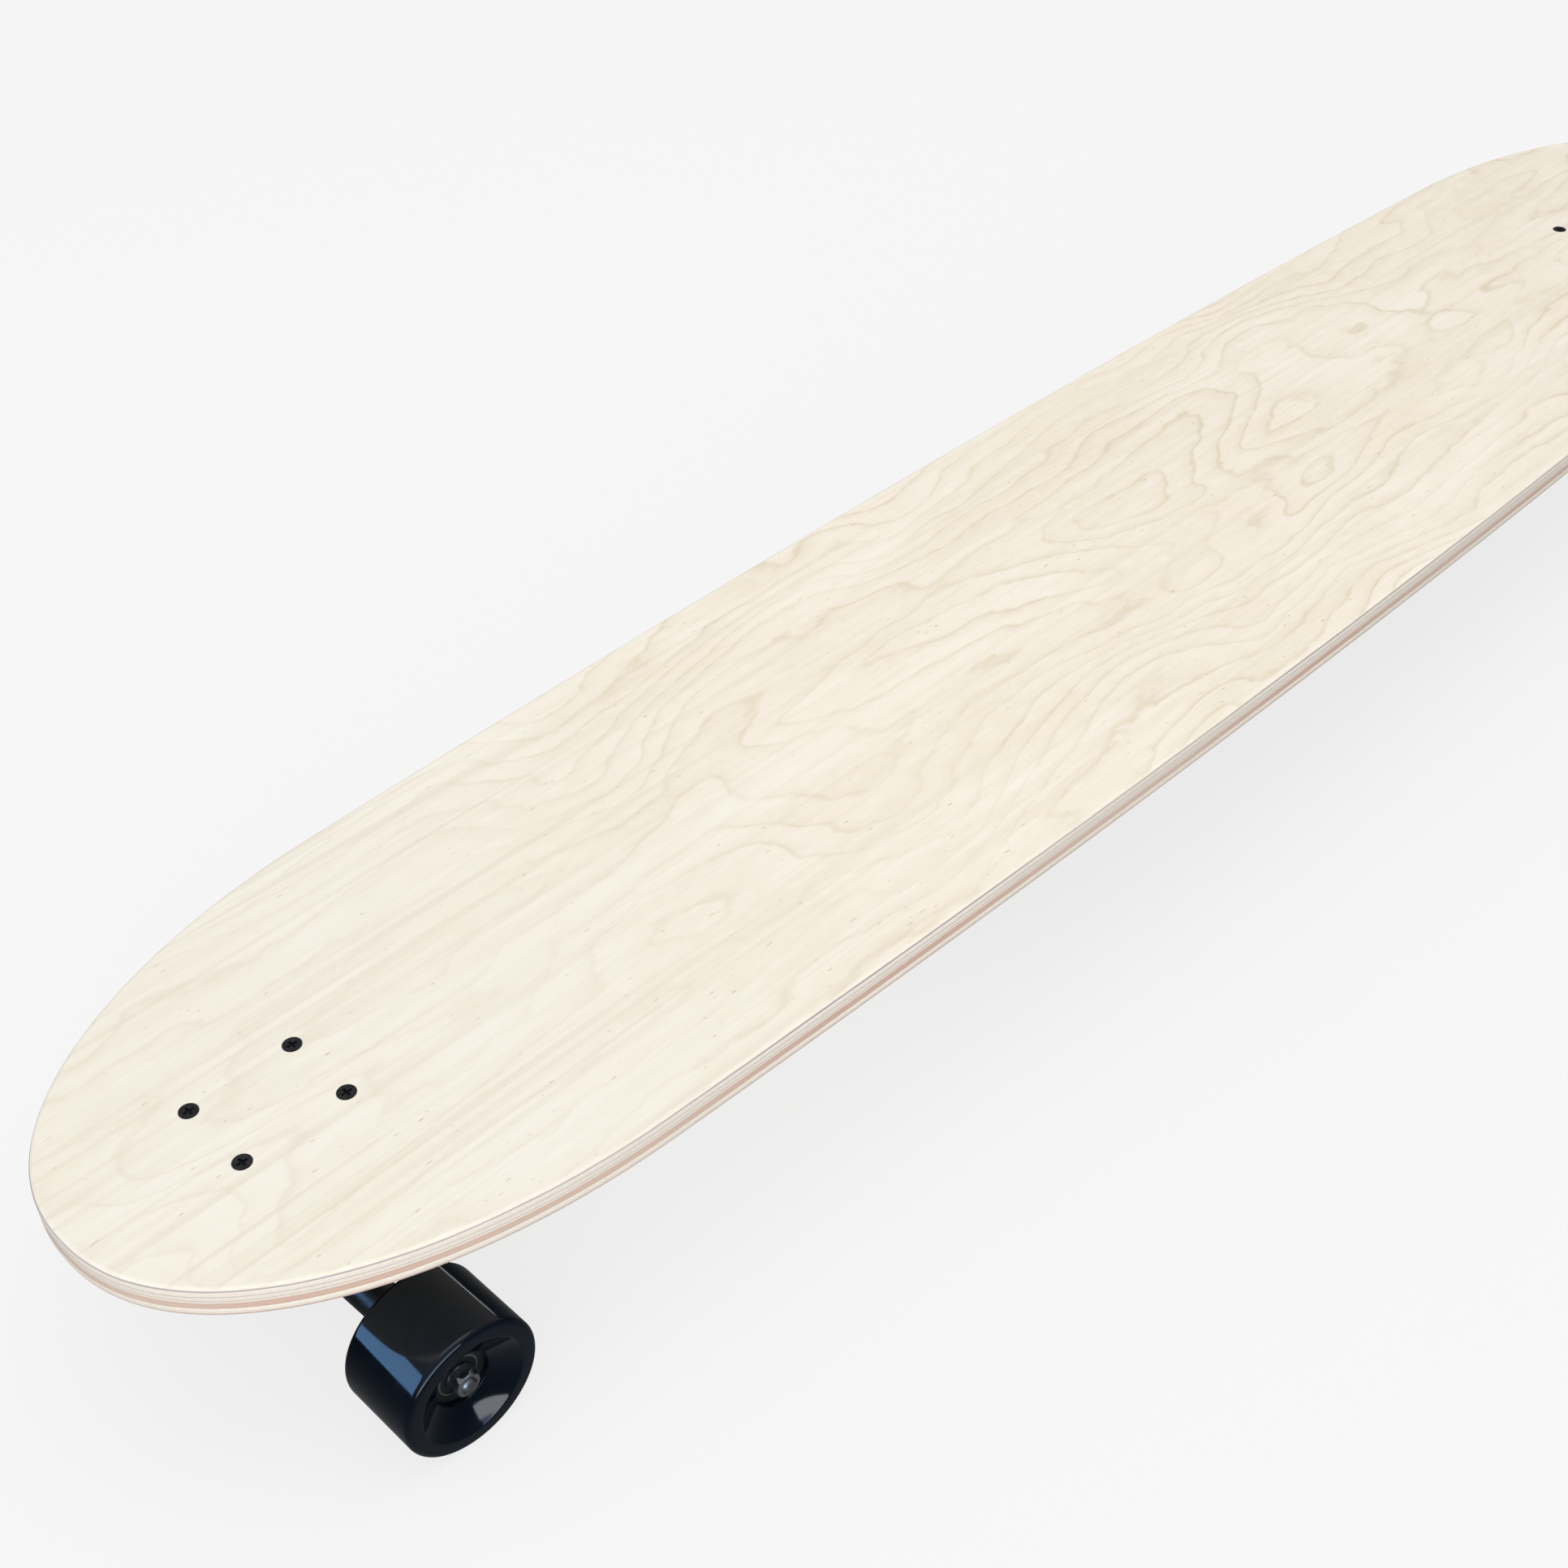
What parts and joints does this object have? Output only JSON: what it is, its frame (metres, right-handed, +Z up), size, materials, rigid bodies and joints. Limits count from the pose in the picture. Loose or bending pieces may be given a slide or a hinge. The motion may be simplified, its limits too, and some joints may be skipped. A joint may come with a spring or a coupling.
{
  "type": "electric skateboard",
  "caption": "Electric longboard: thick birch-plywood deck on reverse-kingpin trucks, dished urethane wheels, hub motors at the rear and an under-deck battery case.",
  "frame": {"origin": "centre of the footprint box, on the ground under the wheels", "axes": "+X towards the nose (forwards), +Y towards the left side, +Z up"},
  "size_m": [1.448, 0.288, 0.121],
  "materials": {
    "birch_plywood": "clear satin",
    "black_screws": "black oxide",
    "zinc_steel": "zinc plated",
    "black_rubber": "matt",
    "black_cast_metal": "black powder coat",
    "cup_urethane": "matt",
    "bare_steel": "turned",
    "bushing_urethane": "cast, satin",
    "wheel_urethane": "gloss black cast urethane",
    "core_nylon": "moulded",
    "bearing_steel": "ground",
    "stator_steel": "laminated",
    "copper_wire": "enamelled copper",
    "anodised_can": "black anodised",
    "magnet_nickel": "nickel plated",
    "case_abs": "fine texture",
    "cell_wrap": "heat-shrink sleeve",
    "circuit_board": "solder mask",
    "sink_aluminium": "extruded",
    "bezel_steel": "brushed",
    "button_plastic": "moulded"
  },
  "bodies": {
    "board": {"deck": "birch_plywood", "deck_screws": "black_screws", "deck_lock_nuts": "zinc_steel", "front_riser_pad": "black_rubber", "rear_riser_pad": "black_rubber", "front_baseplate": "black_cast_metal", "rear_baseplate": "black_cast_metal", "pivot_cups": "cup_urethane", "kingpins": "bare_steel", "kingpin_nuts": "zinc_steel", "cup_washers": "zinc_steel", "front_board_side_bushing": "bushing_urethane", "front_road_side_bushing": "bushing_urethane", "rear_board_side_bushing": "bushing_urethane", "rear_road_side_bushing": "bushing_urethane", "enclosure_shell": "case_abs", "enclosure_gasket": "black_rubber", "enclosure_screws": "black_screws", "battery_cells": "cell_wrap", "cell_holders": "case_abs", "controller_board": "circuit_board", "heat_sink": "sink_aluminium", "button_bezel": "bezel_steel", "charge_socket": "case_abs", "cable_glands": "case_abs"},
    "front_truck": {"front_hanger": "black_cast_metal", "front_axle": "bare_steel", "front_axle_nuts": "zinc_steel", "front_axle_washers": "zinc_steel", "front_bearing_spacers": "zinc_steel"},
    "rear_truck": {"rear_hanger": "black_cast_metal", "rear_axle": "bare_steel", "rear_axle_nuts": "zinc_steel", "rear_axle_washers": "zinc_steel", "rear_left_stator": "stator_steel", "rear_right_stator": "stator_steel", "rear_left_windings": "copper_wire", "rear_right_windings": "copper_wire"},
    "front_left_wheel": {"front_left_tyre": "wheel_urethane", "front_left_core": "core_nylon", "front_left_bearings": "bearing_steel"},
    "front_right_wheel": {"front_right_tyre": "wheel_urethane", "front_right_core": "core_nylon", "front_right_bearings": "bearing_steel"},
    "rear_left_wheel": {"rear_left_tyre": "wheel_urethane", "rear_left_motor_can": "anodised_can", "rear_left_magnets": "magnet_nickel", "rear_left_motor_cover": "anodised_can", "rear_left_cover_screws": "zinc_steel", "rear_left_motor_bearings": "bearing_steel"},
    "rear_right_wheel": {"rear_right_tyre": "wheel_urethane", "rear_right_motor_can": "anodised_can", "rear_right_magnets": "magnet_nickel", "rear_right_motor_cover": "anodised_can", "rear_right_cover_screws": "zinc_steel", "rear_right_motor_bearings": "bearing_steel"},
    "button": {"power_button": "button_plastic"},
    "socket_cap": {"charge_cap": "black_rubber"}
  },
  "joints": [
    {"name": "front_truck_lean", "type": "hinge", "parent": "board", "child": "front_truck", "pos_m": [0.60289, 0, 0.02989], "axis": [0.7071, 0, 0.7071], "range_deg": [-15, 15], "stiffness_Nm_per_rad": 60, "deforming": ["front_board_side_bushing", "front_road_side_bushing"]},
    {"name": "rear_truck_lean", "type": "hinge", "parent": "board", "child": "rear_truck", "pos_m": [-0.52089, 0, 0.02989], "axis": [-0.7071, 0, 0.7071], "range_deg": [-15, 15], "stiffness_Nm_per_rad": 60, "deforming": ["rear_board_side_bushing", "rear_road_side_bushing"]},
    {"name": "front_left_wheel_spin", "type": "hinge", "parent": "front_truck", "child": "front_left_wheel", "pos_m": [0.622, 0.103, 0.035], "axis": [0, 1, 0], "continuous": true},
    {"name": "front_right_wheel_spin", "type": "hinge", "parent": "front_truck", "child": "front_right_wheel", "pos_m": [0.622, -0.103, 0.035], "axis": [0, 1, 0], "continuous": true},
    {"name": "rear_left_wheel_spin", "type": "hinge", "parent": "rear_truck", "child": "rear_left_wheel", "pos_m": [-0.54, 0.112, 0.035], "axis": [0, 1, 0], "continuous": true},
    {"name": "rear_right_wheel_spin", "type": "hinge", "parent": "rear_truck", "child": "rear_right_wheel", "pos_m": [-0.54, -0.112, 0.035], "axis": [0, 1, 0], "continuous": true},
    {"name": "power_button_press", "type": "slide", "parent": "board", "child": "button", "axis": [0, -1, 0], "range_m": [0, 0.0015], "stiffness_N_per_m": 600},
    {"name": "charge_cap_hinge", "type": "hinge", "parent": "board", "child": "socket_cap", "pos_m": [0.143, 0.089, 0.096], "axis": [1, 0, 0], "range_deg": [0, 90]}
  ]
}
